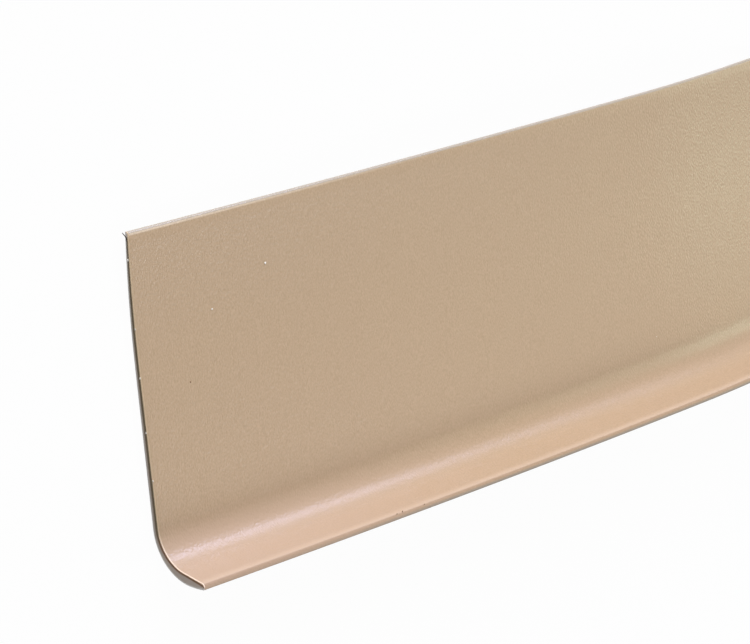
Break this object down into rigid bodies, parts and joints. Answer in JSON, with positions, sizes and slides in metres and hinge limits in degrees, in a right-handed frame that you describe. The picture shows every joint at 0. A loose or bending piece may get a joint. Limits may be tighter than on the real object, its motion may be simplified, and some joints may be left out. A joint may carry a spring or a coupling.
{
  "type": "vinyl cove base",
  "caption": "One-piece beige vinyl wall base strip: flat wall side, coved foot with a thickened toe, and a thin rounded top edge.",
  "frame": {"origin": "on the floor plane under the middle of the strip's bounding box, as it lies on its back", "axes": "+X along the strip from its humped free end to its flat end, +Y up the wall side from the toe to the top edge, +Z out of the room face"},
  "size_m": [1.2204, 0.1016, 0.0268],
  "materials": {
    "vinyl": "satin, fine pebbled grain"
  },
  "bodies": {
    "root": {"cove_base": "vinyl"}
  },
  "joints": []
}
